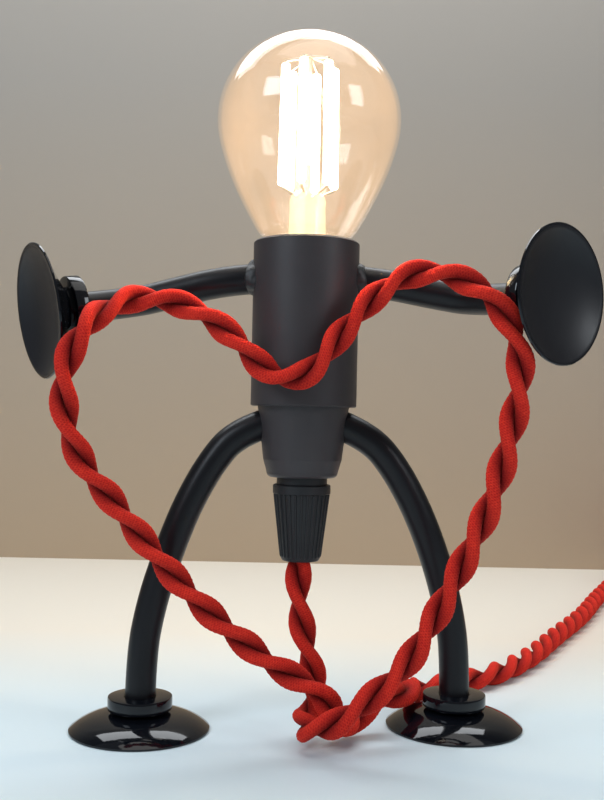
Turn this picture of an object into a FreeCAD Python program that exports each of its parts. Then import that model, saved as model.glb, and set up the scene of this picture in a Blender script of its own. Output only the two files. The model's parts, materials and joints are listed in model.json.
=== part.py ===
import FreeCAD, Part
import math
import os

# Robot-shaped desk lamp. The lamp stands on two suction-cup feet, faces -Y and is measured in millimetres.
# Everything is drawn about the lamp's own upright axis and is moved to the part frame when it is saved.
AXIS_Y = 5.7

# Lampholder, as heights above the table and radii about the lamp axis
SKIRT_BOTTOM, SKIRT_TOP = 79.0, 119.3
SKIRT_R, SKIRT_WALL = 13.0, 1.6
CAP_BOTTOM, CAP_COLLAR_TOP = 61.7, 86.0
CAP_RADII = ((62.9, 8.75), (66.0, 9.65), (70.5, 10.2), (SKIRT_BOTTOM, 11.2))
CAP_WALL, CAP_FLOOR = 1.8, 2.2
STUB_R = 4.95
CARRIER_R, CARRIER_BOTTOM, CARRIER_TOP = 11.2, 86.2, 112.8
WELL_R, WELL_FLOOR, CARRIER_SHOULDER = 7.7, 91.6, 95.5
TERMINAL_X, TERMINAL_Z = 6.2, 89.2
TERMINAL_SIZE = (5.6, 6.4, 5.0)
SCREW_R, SCREW_HEAD_R = 1.25, 1.9

# Cord grip below the cap
COLLAR_R, COLLAR_BOTTOM = 6.2, 60.0
SHANK_R, SHANK_BOTTOM, GRIP_BORE_R = 5.0, 46.5, 3.55
NUT_BOTTOM, NUT_TOP = 41.2, 59.9
NUT_FLANGE_R, NUT_FLANGE_HEIGHT = 7.1, 2.2
NUT_TOP_R, NUT_FOOT_R, NUT_RIBS = 6.9, 5.1, 28

# Cord cores above the grip, as the one on the +X side
LEAD_R = 1.35
LEAD_ROUTE = ((1.7, 0.0, 49.1), (1.75, 0.0, 60.5), (2.0, 0.0, 71.0), (5.2, 0.0, 77.5), (TERMINAL_X, 0.0, 84.0),
              (TERMINAL_X, 0.0, TERMINAL_Z + 0.9))

# E14 screw base and the 45 mm bulb
THREAD_PITCH, THREAD_TURNS, THREAD_BOTTOM = 2.82, 5, 98.0
THREAD_CREST_R, THREAD_ROOT_R = 6.95, 6.4
THREAD_GAP, SHELL_WALL = 0.25, 0.4
BASE_WALL, BASE_FLARE_R, BASE_TOP = 0.35, 8.5, 117.8
BULB_R, BULB_CENTRE, CROWN_RISE = 22.5, 149.1, 21.3
GLASS_WALL = 0.8
SHOULDER_R, SHOULDER_Z = 12.4, 122.3
NECK_R, NECK_TOP, NECK_BOTTOM = 7.95, 117.9, 114.8
FILAMENTS, FILAMENT_R, FILAMENT_FOOT, FILAMENT_HEAD = 6, 1.1, (6.6, 132.8), (6.2, 162.8)
FILAMENT_PHASE, WIRE_R = 0.25, 0.35

# Bendable cable limbs and the suction cups on their ends
CABLE_R, CABLE_SLIP = 3.7, 0.1
CUP_BORE_SLIP = 0.05
ARM_ROOT_X, ARM_ROOT_Z, ARM_DROOP = 11.75, 110.2, 0.085
LEG_ROOT_Z = 74.6
HAND_RIM_R, HAND_HEAD_BACK, HAND_BORE_END = 16.0, 10.4, 4.7
FOOT_RIM_R, FOOT_HEAD_TOP, FOOT_BORE_END = 16.9, 8.2, 2.6
HEAD_R, HEAD_THICK, CUP_NECK_R = 7.8, 3.2, 5.2
CUP_WEB, CUP_LIP = 1.4, 0.5
LEFT_HAND, LEFT_HAND_AXIS = (-63.0, -11.0, 100.0), (-0.848, -0.509, -0.148)
RIGHT_HAND, RIGHT_HAND_AXIS = (57.5, -23.0, 105.1), (0.652, -0.758, 0.0)
LEFT_FOOT, RIGHT_FOOT = (-38.1, -3.5, 0.0), (39.2, 4.5, 0.0)
WRIST_RUN = 24.0
ARM_FIRST_BEND_X = 20.0
LEFT_ARM_BEND, RIGHT_ARM_BEND = (-31.0, 1.0, 106.8), (31.0, -1.2, 107.2)
LEFT_LEG_BEND = ((-16.5, -0.5, 72.0), (-22.5, -1.2, 64.5), (-28.0, -1.9, 54.0), (-32.4, -2.6, 42.0),
                 (-36.0, -3.2, 30.0), (-38.1, -3.5, 17.5))
RIGHT_LEG_BEND = ((16.5, 0.4, 71.8), (23.0, 1.2, 64.3), (29.0, 2.2, 53.5), (33.8, 3.3, 41.5),
                  (37.3, 4.2, 29.5), (39.2, 4.5, 17.0))

# Twisted two-core cord: points of its route, from inside the grip, round the knot and the loop, to the coil
CORD_R = 3.3
CORD_DROP = ((0.0, 0.0, 49.0), (0.0, 0.0, 42.5), (-0.5, -0.5, 36.0), (0.0, -1.5, 29.5), (1.5, -2.5, 22.5),
             (3.5, -3.0, 16.0), (4.0, -4.0, 10.5), (3.0, -7.5, 6.5), (1.5, -12.3, 5.0), (2.0, -17.5, 5.0),
             (5.5, -21.8, 6.2), (10.3, -23.6, 9.3), (15.5, -24.0, 13.5), (24.0, -22.5, 20.6))
CORD_LOOP = ((31.2, -22.0, 33.3), (36.5, -22.5, 44.5), (43.0, -23.0, 59.5), (47.0, -24.0, 77.0),
             (48.5, -24.5, 89.5), (45.2, -24.4, 99.4), (39.5, -20.8, 106.5), (31.5, -16.2, 110.6),
             (22.5, -14.6, 110.0), (14.5, -15.0, 103.5), (8.5, -16.0, 96.0), (4.0, -17.0, 89.6),
             (0.0, -17.4, 85.6), (-6.3, -17.4, 85.1), (-11.2, -16.8, 89.0), (-17.0, -15.2, 95.3),
             (-25.0, -13.2, 100.9), (-35.0, -12.3, 103.9), (-43.2, -15.7, 102.4), (-48.4, -24.2, 96.8),
             (-52.4, -26.2, 88.6), (-53.6, -25.0, 78.5), (-50.6, -21.0, 66.0), (-42.0, -17.5, 55.0),
             (-32.5, -16.5, 43.0), (-22.0, -16.5, 32.0), (-10.5, -15.5, 22.5), (-3.5, -14.5, 17.5))
CORD_TAIL = ((2.8, -14.5, 14.5), (6.8, -15.0, 11.3), (8.3, -14.9, 7.5), (9.9, -13.0, 4.6), (11.8, -9.9, 3.2),
             (13.6, -6.5, 3.7), (16.8, -3.3, 6.4), (21.2, -2.2, 8.9), (25.3, 0.1, 8.8), (27.7, 4.9, 7.9),
             (27.8, 11.0, 6.6), (29.2, 17.5, 5.0), (32.0, 23.5, 3.9), (38.0, 28.9, 3.3), (46.0, 34.5, 3.3),
             (59.0, 46.0, 3.3), (73.0, 67.0, 3.3), (88.0, 98.0, 3.3), (107.0, 134.0, 3.3), (122.0, 170.0, 3.3))

# Put-away coil: it winds clockwise, inwards on the table and outwards again in a second layer
COIL_CENTRE, COIL_OUTER_R, COIL_STEP = (192.0, 216.0), 45.0, 7.2
COIL_ENTRY, COIL_TURNS, COIL_LAYER_RISE = 158.0, 4 + 158.0 / 360.0, 7.2
COIL_STRAIGHT, COIL_APPROACH = 2 * CORD_R, 28.0

# Two-pin mains plug, lying beside the coil with its pins towards the lamp
PLUG_HEIGHT, PLUG_BODY_LENGTH, PLUG_FACE_WIDTH, PLUG_TAIL_WIDTH = 13.7, 34.0, 35.0, 15.0
PLUG_BOOT_LENGTH, PLUG_BOOT_R, PLUG_Z = 26.0, 4.8, 6.85
PIN_R, PIN_LENGTH, PIN_SPACING = 2.0, 19.0, 19.0
CORD_END_LEAD = 10.0
CORD_END_BEND = ((236.6, 188.0, 8.0), (235.0, 174.0, PLUG_Z), (235.0, 160.0, PLUG_Z))

pieces = {}
radii = []


def vec(point):
    return FreeCAD.Vector(*point)


def along(start, axis, distance):
    return vec(start) + vec(axis) * distance


def outline(points):
    """Closed wire in the XZ plane: (r, z) is a corner, and (r, z, r, z) is an arc's middle and its end."""
    edges = []
    last = FreeCAD.Vector(points[0][0], 0, points[0][1])
    for point in points[1:] + points[:1]:
        end = FreeCAD.Vector(point[-2], 0, point[-1])
        if len(point) == 4:
            edges.append(Part.Arc(last, FreeCAD.Vector(point[0], 0, point[1]), end).toShape())
        elif (end - last).Length > 1e-6:
            edges.append(Part.LineSegment(last, end).toShape())
        last = end
    return Part.Wire(edges)


def turned(points):
    """Solid of revolution about Z."""
    return Part.Face(outline(points)).revolve(FreeCAD.Vector(), FreeCAD.Vector(0, 0, 1), 360)


def placed(shape, origin, axis):
    """The shape, with its Z axis turned to the given axis and its origin moved."""
    copy = shape.copy()
    turn = FreeCAD.Rotation(FreeCAD.Vector(0, 0, 1), vec(axis))
    copy.Placement = FreeCAD.Placement(vec(origin), turn)
    return copy


def rod(radius, start, end):
    axis = vec(end) - vec(start)
    return Part.makeCylinder(radius, axis.Length, vec(start), axis)


def block(size, centre):
    corner = vec(centre) - vec(size) * 0.5
    return Part.makeBox(size[0], size[1], size[2], corner)


def arc_leaving(start, leave, end):
    """Arc from start to end that leaves start along a given direction."""
    chord = end - start
    side = leave - chord * (leave.dot(chord) / chord.dot(chord))
    if side.Length < 1e-7:
        return Part.LineSegment(start, end).toShape()
    angle = leave.getAngle(chord)
    middle = start + chord * 0.5 + side.normalize() * (chord.Length / 2 * math.tan(angle / 2))
    return Part.Arc(start, middle, end).toShape()


def biarc(start, leave, end, arrive):
    """Two arcs that join smoothly and take one point and direction to another."""
    span = end - start
    both = leave + arrive
    spread = 2 * (1 - leave.dot(arrive))
    push = -span.dot(both) + math.sqrt(span.dot(both) ** 2 + spread * span.dot(span))
    push = push / spread if spread > 1e-9 else span.dot(span) / (4 * span.dot(arrive))
    middle = (start + end + (leave - arrive) * push) * 0.5
    second = arc_leaving(end, arrive * -1, middle)
    return [arc_leaving(start, leave, middle), second]


def rounded_path(points):
    """Straight runs joined by tangent arcs, each as large as its two runs allow."""
    corners = [vec(p) for p in points]
    edges = []
    last = corners[0]
    for before, corner, after in zip(corners, corners[1:], corners[2:]):
        back = (before - corner).normalize()
        ahead = (after - corner).normalize()
        trim = 0.45 * min((before - corner).Length, (after - corner).Length)
        turn = math.pi - back.getAngle(ahead)
        radius = trim / math.tan(turn / 2)
        radii.append(radius)
        start, end = corner + back * trim, corner + ahead * trim
        bisector = (back + ahead).normalize()
        middle = corner + bisector * (math.hypot(trim, radius) - radius)
        edges.append(Part.LineSegment(last, start).toShape())
        edges.append(Part.Arc(start, middle, end).toShape())
        last = end
    edges.append(Part.LineSegment(last, corners[-1]).toShape())
    return edges


def swept(edges, radius):
    """Round tube along a smooth path; prints how its volume compares with its section times its length."""
    path = Part.Wire(edges)
    start = edges[0].Vertexes[0].Point
    leave = edges[0].tangentAt(edges[0].FirstParameter)
    ring = Part.Wire(Part.makeCircle(radius, start, leave))
    solid = path.makePipeShell([ring], True, False)
    share = solid.Volume / (math.pi * radius ** 2 * path.Length)
    print("tube of radius %.2f, length %.1f, volume %.4f of section by length" % (radius, path.Length, share))
    return solid


def tube(points, radius):
    return swept(rounded_path(points), radius)


def ring_thread(gap):
    """Corners of the round screw profile, as rings, from its bottom to its top."""
    middle = (THREAD_CREST_R + THREAD_ROOT_R) / 2 + gap
    points = []
    for turn in range(THREAD_TURNS):
        z = THREAD_BOTTOM + turn * THREAD_PITCH
        half = THREAD_PITCH / 2
        points.append((THREAD_CREST_R + gap, z + half / 2, middle, z + half))
        points.append((THREAD_ROOT_R + gap, z + 1.5 * half, middle, z + THREAD_PITCH))
    return [(middle, THREAD_BOTTOM)] + points


def mirrored_back(points):
    """The same profile walked the other way."""
    ends = [point[-2:] for point in points]
    walk = [ends[-1]]
    for point, end in zip(points[:0:-1], ends[-2::-1]):
        walk.append(point[:2] + end if len(point) == 4 else end)
    return walk


def arm_point(side, x):
    """Point on the axis of an arm where it leaves the skirt."""
    return (side * x, 0.0, ARM_ROOT_Z - ARM_DROOP * (x - ARM_ROOT_X))


def make_skirt():
    inner = SKIRT_R - SKIRT_WALL
    lip = 0.5
    skirt = turned([(inner, SKIRT_BOTTOM), (SKIRT_R - 0.3, SKIRT_BOTTOM), (SKIRT_R, SKIRT_BOTTOM + 0.3),
                    (SKIRT_R, SKIRT_TOP - lip), (SKIRT_R - lip, SKIRT_TOP), (inner, SKIRT_TOP)])
    for side in (-1, 1):
        skirt = skirt.cut(rod(CABLE_R + CABLE_SLIP, arm_point(side, 8.0), arm_point(side, 20.0)))
    pieces["lampholder_skirt"] = skirt


def make_cap():
    outer = [(r, z) for z, r in CAP_RADII]
    inner = [(r - CAP_WALL, z) for z, r in reversed(CAP_RADII[1:])]
    collar = CAP_RADII[-1][1]
    floor = CAP_BOTTOM + CAP_FLOOR
    bore = STUB_R + 0.1
    profile = [(bore, CAP_BOTTOM), (7.6, CAP_BOTTOM), (8.4, CAP_BOTTOM + 0.35) + outer[0]] + outer[1:]
    profile += [(collar, CAP_COLLAR_TOP), (collar - CAP_WALL, CAP_COLLAR_TOP)] + inner
    profile += [(7.0, floor), (bore, floor)]
    cap = turned(profile)
    for side in (-1, 1):
        hole = rod(CABLE_R + CABLE_SLIP, (side * 6, 0, LEG_ROOT_Z + 1.1), (side * 18, 0, LEG_ROOT_Z - 3.1))
        cap = cap.cut(hole)
    pieces["lampholder_cap"] = cap


def make_carrier():
    shoulder = WELL_R + 1.7
    carrier = turned([(0, CARRIER_BOTTOM), (CARRIER_R, CARRIER_BOTTOM), (CARRIER_R, CARRIER_SHOULDER),
                      (shoulder, CARRIER_SHOULDER), (shoulder, CARRIER_TOP), (WELL_R, CARRIER_TOP),
                      (WELL_R, WELL_FLOOR), (0, WELL_FLOOR)])
    length, width, height = TERMINAL_SIZE
    for side in (-1, 1):
        reach = (CARRIER_R + 1) - (TERMINAL_X - length / 2)
        pocket_x = side * (TERMINAL_X - length / 2 + reach / 2)
        pocket = block((reach + 0.4, width + 0.4, height + 0.6), (pocket_x, 0, TERMINAL_Z - 0.3))
        carrier = carrier.cut(pocket)
        lead_way = Part.makeCylinder(1.8, 4, FreeCAD.Vector(side * TERMINAL_X, 0, CARRIER_BOTTOM - 1))
        carrier = carrier.cut(lead_way)
    pieces["contact_carrier"] = carrier


def make_terminals():
    length = TERMINAL_SIZE[0]
    screws = []
    for side, name in ((-1, "neutral_terminal"), (1, "line_terminal")):
        body = block(TERMINAL_SIZE, (side * TERMINAL_X, 0, TERMINAL_Z))
        way = Part.makeCylinder(1.6, TERMINAL_SIZE[2] - 0.6,
                                FreeCAD.Vector(side * TERMINAL_X, 0, TERMINAL_Z - TERMINAL_SIZE[2] / 2))
        outer_face = side * (TERMINAL_X + length / 2)
        tip = side * (TERMINAL_X + 1.65)
        screw_way = rod(SCREW_R + 0.05, (tip, 0, TERMINAL_Z + 0.4), (outer_face + side, 0, TERMINAL_Z + 0.4))
        pieces[name] = body.cut(way).cut(screw_way)
        shank = rod(SCREW_R, (tip, 0, TERMINAL_Z + 0.4), (outer_face + side * 0.1, 0, TERMINAL_Z + 0.4))
        head = rod(SCREW_HEAD_R, (outer_face + side * 0.1, 0, TERMINAL_Z + 0.4),
                   (outer_face + side * 1.5, 0, TERMINAL_Z + 0.4))
        slot = block((1.0, 0.6, 5.0), (outer_face + side * 1.6, 0, TERMINAL_Z + 0.4))
        screws.append(shank.fuse(head).removeSplitter().cut(slot))
    pieces["terminal_screws"] = Part.makeCompound(screws)


def make_screw_shell():
    inside = ring_thread(THREAD_GAP)
    outside = mirrored_back(ring_thread(THREAD_GAP + SHELL_WALL))
    top = inside[-1][-1]
    rim = [(inside[-1][-2], top + 0.5), (outside[0][0], top + 0.5)]
    shell = turned(inside + rim + outside)
    strap = Part.makeBox(0.35, 3.0, 6.5, FreeCAD.Vector(-7.35, -1.5, WELL_FLOOR + 0.15))
    pieces["screw_shell"] = shell.fuse(strap).removeSplitter()


def make_centre_contact():
    thick = 0.4
    low, high = WELL_FLOOR + 0.1, WELL_FLOOR + 1.35
    side_view = [(-2.6, high + 0.1), (-0.2, high), (2.2, low), (5.0, low)]
    top_view = [(x, z + thick) for x, z in reversed(side_view)]
    strip = Part.Face(outline(side_view + top_view))
    strip.translate(FreeCAD.Vector(0, -1.6, 0))
    pieces["centre_contact"] = strip.extrude(FreeCAD.Vector(0, 3.2, 0))


def make_grip_body():
    taper = 2.0
    body = turned([(GRIP_BORE_R, SHANK_BOTTOM), (SHANK_R - 0.9, SHANK_BOTTOM), (SHANK_R, SHANK_BOTTOM + taper),
                   (SHANK_R, COLLAR_BOTTOM), (COLLAR_R, COLLAR_BOTTOM), (COLLAR_R, CAP_BOTTOM - 0.1),
                   (STUB_R, CAP_BOTTOM - 0.1), (STUB_R, CAP_BOTTOM + 6.8), (STUB_R - 0.6, CAP_BOTTOM + 7.4),
                   (GRIP_BORE_R, CAP_BOTTOM + 7.4)])
    jaw = 9.0
    for turn in (0, 90):
        slot = block((3 * SHANK_R, 0.8, jaw), (0, 0, SHANK_BOTTOM + jaw / 2 - 0.5))
        slot.rotate(FreeCAD.Vector(), FreeCAD.Vector(0, 0, 1), turn + 45)
        body = body.cut(slot)
    pieces["grip_body"] = body


def make_grip_nut():
    rib_top = NUT_TOP - NUT_FLANGE_HEIGHT
    nut = turned([(3.65, NUT_BOTTOM), (NUT_FOOT_R - 0.9, NUT_BOTTOM),
                  (NUT_FOOT_R - 0.3, NUT_BOTTOM + 0.25, NUT_FOOT_R, NUT_BOTTOM + 1.0),
                  (NUT_TOP_R, rib_top), (NUT_FLANGE_R, rib_top), (NUT_FLANGE_R, NUT_TOP - 0.3),
                  (NUT_FLANGE_R - 0.3, NUT_TOP), (SHANK_R + 0.15, NUT_TOP), (SHANK_R + 0.15, SHANK_BOTTOM + 2.2),
                  (3.65, NUT_BOTTOM + 3.2)])
    grooves = []
    for rib in range(NUT_RIBS):
        angle = 2 * math.pi * rib / NUT_RIBS
        foot = ((NUT_FOOT_R + 0.1) * math.cos(angle), (NUT_FOOT_R + 0.1) * math.sin(angle), NUT_BOTTOM + 0.6)
        head = ((NUT_TOP_R + 0.1) * math.cos(angle), (NUT_TOP_R + 0.1) * math.sin(angle), rib_top - 0.4)
        grooves.append(rod(0.32, foot, head))
    pieces["grip_nut"] = nut.cut(Part.makeCompound(grooves))


def make_leads():
    for name, side in (("neutral_lead", -1), ("line_lead", 1)):
        pieces[name] = tube([(side * x, y, z) for x, y, z in LEAD_ROUTE], LEAD_R)


def make_base():
    wall = BASE_WALL
    top = ring_thread(0)[-1][-1]
    low = [(3.2, 96.9), (5.2, 96.9), (6.3, 97.6)]
    thread = ring_thread(0)
    shoulder = [(THREAD_CREST_R - 0.1, top + 1.1), (BASE_FLARE_R, top + 2.1), (BASE_FLARE_R, BASE_TOP)]
    inside = [(BASE_FLARE_R - wall, BASE_TOP), (BASE_FLARE_R - wall, top + 2.3), (THREAD_CREST_R - 0.5, top + 1.3)]
    inside += [(THREAD_ROOT_R - wall, top + 0.3), (THREAD_ROOT_R - wall, 98.0), (5.0, 97.3), (3.2, 97.3)]
    pieces["bulb_base"] = turned(low + thread + shoulder + inside)
    pieces["bulb_insulator"] = turned([(0, 94.8), (3.4, 94.8), (4.9, 96.7), (3.0, 96.8), (3.0, 98.2), (0, 98.2)])
    pieces["bulb_tip"] = turned([(0, 93.75), (1.6, 93.9, 2.4, 94.7), (0, 94.7)])
    board = turned([(0, 99.5), (5.4, 99.5), (5.4, 100.7), (0, 100.7)])
    chip = block((4.0, 5.0, 3.5), (1.0, 0, 102.4))
    pieces["driver_board"] = board.fuse(chip).removeSplitter()


def glass_side(wall):
    """Edges of the bulb's side, from the crown to the end of the neck, at a depth inside the outer face."""
    ball = BULB_R - wall
    tilt = math.radians(14)
    crown = FreeCAD.Vector(0, 0, BULB_CENTRE + CROWN_RISE - wall)
    waist = FreeCAD.Vector(ball, 0, BULB_CENTRE)
    leave_ball = FreeCAD.Vector(ball * math.cos(tilt), 0, BULB_CENTRE - ball * math.sin(tilt))
    middle = FreeCAD.Vector(ball * math.cos(tilt / 2), 0, BULB_CENTRE - ball * math.sin(tilt / 2))
    shoulder = FreeCAD.Vector(SHOULDER_R - wall, 0, SHOULDER_Z)
    neck = FreeCAD.Vector(NECK_R - wall, 0, NECK_TOP)
    slope = FreeCAD.Vector(-0.52, 0, -0.854).normalize()
    down = FreeCAD.Vector(0, 0, -1)
    edges = biarc(crown, FreeCAD.Vector(1, 0, 0), waist, down)
    edges.append(Part.Arc(waist, middle, leave_ball).toShape())
    edges += biarc(leave_ball, FreeCAD.Vector(-math.sin(tilt), 0, -math.cos(tilt)), shoulder, slope)
    edges += biarc(shoulder, slope, neck, down)
    edges.append(Part.LineSegment(neck, FreeCAD.Vector(NECK_R - wall, 0, NECK_BOTTOM)).toShape())
    return edges


def make_glass():
    solids = []
    for wall in (0, GLASS_WALL):
        edges = glass_side(wall)
        edges.append(Part.LineSegment(FreeCAD.Vector(NECK_R - wall, 0, NECK_BOTTOM),
                                      FreeCAD.Vector(0, 0, NECK_BOTTOM)).toShape())
        edges.append(Part.LineSegment(FreeCAD.Vector(0, 0, NECK_BOTTOM),
                                      FreeCAD.Vector(0, 0, BULB_CENTRE + CROWN_RISE - wall)).toShape())
        face = Part.Face(Part.Wire(Part.sortEdges(edges)[0]))
        solids.append(face.revolve(FreeCAD.Vector(), FreeCAD.Vector(0, 0, 1), 360))
    pieces["bulb_glass"] = solids[0].cut(solids[1])


def make_stem():
    flare = NECK_R - GLASS_WALL - 0.1
    pieces["glass_stem"] = turned([(0, 115.2), (flare, 115.2), (flare, 116.2), (5.2, 118.6, 4.6, 122.0),
                                   (4.4, 128.0), (3.6, 131.2, 1.6, 132.2), (1.3, 138.0), (0, 138.6)])


def filament_ends(index):
    angle = 2 * math.pi * (index + FILAMENT_PHASE) / FILAMENTS
    return [(r * math.cos(angle), r * math.sin(angle), z) for r, z in (FILAMENT_FOOT, FILAMENT_HEAD)]


def make_filaments():
    rods = [rod(FILAMENT_R, *filament_ends(index)) for index in range(FILAMENTS)]
    pieces["led_filaments"] = Part.makeCompound(rods)
    wires = []
    hub = rod(0.5, (0, 0, 138.4), (0, 0, 165.4))
    for index in range(FILAMENTS):
        foot, head = filament_ends(index)
        root = (foot[0] * 0.36, foot[1] * 0.36, 130.4)
        wires.append(rod(WIRE_R, root, (foot[0], foot[1], foot[2] - 0.3)))
        hub = hub.fuse(rod(WIRE_R, (0, 0, 165.0), (head[0], head[1], head[2] + 0.5)))
    pieces["lead_wires"] = Part.makeCompound(wires).cut(pieces["glass_stem"])
    pieces["filament_support"] = hub.removeSplitter().cut(pieces["glass_stem"])


def suction_cup(rim_r, head_back, bore_end, dome):
    """Cup with its rim on Z = 0 and its round head behind it; dome lists the corners of the back."""
    head_front = head_back - HEAD_THICK
    bore = CABLE_R + CUP_BORE_SLIP
    bevel = 0.45
    hollow_top = bore_end - CUP_WEB
    hollow = [(0, hollow_top), (rim_r * 0.54, hollow_top * 0.72, rim_r - 0.9, 0.0)]
    back = [(rim_r, 0.0), (rim_r, CUP_LIP)] + dome + [(CUP_NECK_R, head_front)]
    head = [(HEAD_R - bevel, head_front), (HEAD_R, head_front + bevel), (HEAD_R, head_back - bevel),
            (HEAD_R - bevel, head_back), (bore, head_back), (bore, bore_end), (0, bore_end)]
    return turned(hollow + back + head)


def make_cups():
    hand = suction_cup(HAND_RIM_R, HAND_HEAD_BACK, HAND_BORE_END,
                       [(10.2, 3.4, 5.6, 6.1), (CUP_NECK_R, 6.6)])
    foot = suction_cup(FOOT_RIM_R, FOOT_HEAD_TOP, FOOT_BORE_END,
                       [(14.0, 1.3), (11.3, 3.1, 7.4, 4.2), (CUP_NECK_R, 4.5)])
    backwards = tuple(-value for value in LEFT_HAND_AXIS)
    pieces["left_hand_cup"] = placed(hand, LEFT_HAND, backwards)
    backwards = tuple(-value for value in RIGHT_HAND_AXIS)
    pieces["right_hand_cup"] = placed(hand, RIGHT_HAND, backwards)
    pieces["left_foot_cup"] = placed(foot, LEFT_FOOT, (0, 0, 1))
    pieces["right_foot_cup"] = placed(foot, RIGHT_FOOT, (0, 0, 1))


def make_limbs():
    hands = (("left", -1, LEFT_ARM_BEND, LEFT_HAND, LEFT_HAND_AXIS),
             ("right", 1, RIGHT_ARM_BEND, RIGHT_HAND, RIGHT_HAND_AXIS))
    for name, side, bend, rim, axis in hands:
        wrist = tuple(along(rim, axis, -WRIST_RUN))
        tip = tuple(along(rim, axis, -HAND_BORE_END - 0.1))
        route = (arm_point(side, ARM_ROOT_X), arm_point(side, ARM_FIRST_BEND_X), bend, wrist, tip)
        pieces[name + "_arm_cable"] = tube(route, CABLE_R)
    for name, side, bend in (("left", -1, LEFT_LEG_BEND), ("right", 1, RIGHT_LEG_BEND)):
        root = (side * 9.3, 0, LEG_ROOT_Z)
        tip = bend[-1][:2] + (FOOT_BORE_END + 0.1,)
        pieces[name + "_leg_cable"] = tube((root,) + bend + (tip,), CABLE_R)


def make_beads():
    """Rounded beads of glue where the arms enter the skirt."""
    inside = CABLE_R + CABLE_SLIP
    body = Part.makeCylinder(SKIRT_R + 0.02, 40, FreeCAD.Vector(0, 0, SKIRT_BOTTOM))
    for name, side in (("left", -1), ("right", 1)):
        bead = turned([(inside, 0), (inside + 1.2, 0), (inside + 1.0, 1.2, inside + 0.4, 2.0), (inside, 2.3)])
        bead = placed(bead, arm_point(side, 11.9), (side, 0, -ARM_DROOP))
        pieces[name + "_shoulder_bead"] = bead.cut(body)


def coil_point(turned_by):
    """Place and direction on the coil after turning clockwise by so many turns."""
    half = COIL_TURNS / 2
    inward = min(turned_by, COIL_TURNS - turned_by)
    radius = COIL_OUTER_R - COIL_STEP * inward
    growth = -COIL_STEP if turned_by < half else COIL_STEP
    climb = min(max((turned_by - half + 0.25) / 0.5, 0.0), 1.0)
    z = CORD_R + COIL_LAYER_RISE * (0.5 - 0.5 * math.cos(math.pi * climb))
    rise = COIL_LAYER_RISE * math.pi * math.sin(math.pi * climb)
    if abs(turned_by - half) < 1e-6:
        growth = 0.0
    angle = math.radians(COIL_ENTRY) - 2 * math.pi * turned_by
    out = FreeCAD.Vector(math.cos(angle), math.sin(angle), 0)
    ahead = FreeCAD.Vector(math.sin(angle), -math.cos(angle), 0)
    place = FreeCAD.Vector(COIL_CENTRE[0], COIL_CENTRE[1], z) + out * radius
    direction = ahead * (2 * math.pi * radius) + out * growth + FreeCAD.Vector(0, 0, rise)
    return place, direction.normalize()


def coil_path():
    """Straight end, arcs of at most a quarter turn, straight end."""
    steps = 2 * math.ceil(COIL_TURNS * 2)
    stops = [coil_point(COIL_TURNS * step / steps) for step in range(steps + 1)]
    first, leave = stops[0]
    last, arrive = stops[-1]
    edges = [Part.LineSegment(first - leave * COIL_STRAIGHT, first).toShape()]
    for (start, away), (end, toward) in zip(stops, stops[1:]):
        edges += biarc(start, away, end, toward)
    edges.append(Part.LineSegment(last, last + arrive * COIL_STRAIGHT).toShape())
    return edges


def least_gap(edges):
    """Smallest space between the coil's turns, measured on points along its centre line."""
    points = []
    for edge in edges:
        points += edge.discretize(12)[:-1]
    apart = 40
    nearest = min((points[i] - points[j]).Length
                  for i in range(len(points)) for j in range(i + apart, len(points)))
    return nearest - 2 * CORD_R


def halves(line):
    """A straight edge, cut at its middle."""
    start, end = line.Vertexes[0].Point, line.Vertexes[1].Point
    middle = (start + end) * 0.5
    return Part.LineSegment(start, middle).toShape(), Part.LineSegment(middle, end).toShape()


def make_cord():
    coil = coil_path()
    first, leave = coil_point(0)
    last, arrive = coil_point(COIL_TURNS)
    coil_start = first - leave * COIL_STRAIGHT
    coil_end = last + arrive * COIL_STRAIGHT
    arrival = (tuple(coil_start - leave * COIL_APPROACH), tuple(coil_start))
    edges = rounded_path(CORD_DROP + CORD_LOOP + CORD_TAIL + arrival)
    cut_a = 2 * (len(CORD_DROP) - 1)
    cut_b = 2 * (len(CORD_DROP + CORD_LOOP) - 1)
    bends = radii[-len(CORD_DROP + CORD_LOOP + CORD_TAIL):]
    drop_end, loop_start = halves(edges[cut_a])
    loop_end, tail_start = halves(edges[cut_b])
    pieces["cord_drop"] = swept(edges[:cut_a] + [drop_end], CORD_R)
    pieces["cord_loop"] = swept([loop_start] + edges[cut_a + 1:cut_b] + [loop_end], CORD_R)
    pieces["cord_tail"] = swept([tail_start] + edges[cut_b + 1:], CORD_R)
    pieces["cord_coil"] = swept(coil, CORD_R)
    lead = tuple(coil_end + arrive * CORD_END_LEAD)
    pieces["cord_end"] = tube((tuple(coil_end), lead) + CORD_END_BEND, CORD_R)
    route_length = sum(edge.Length for edge in edges)
    print("cord outside its coil %.1f, radii" % route_length, " ".join("%.1f" % r for r in bends))
    length = sum(edge.Length for edge in coil)
    print("coil length %.1f, least gap between its turns %.2f" % (length, least_gap(coil)))


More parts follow.
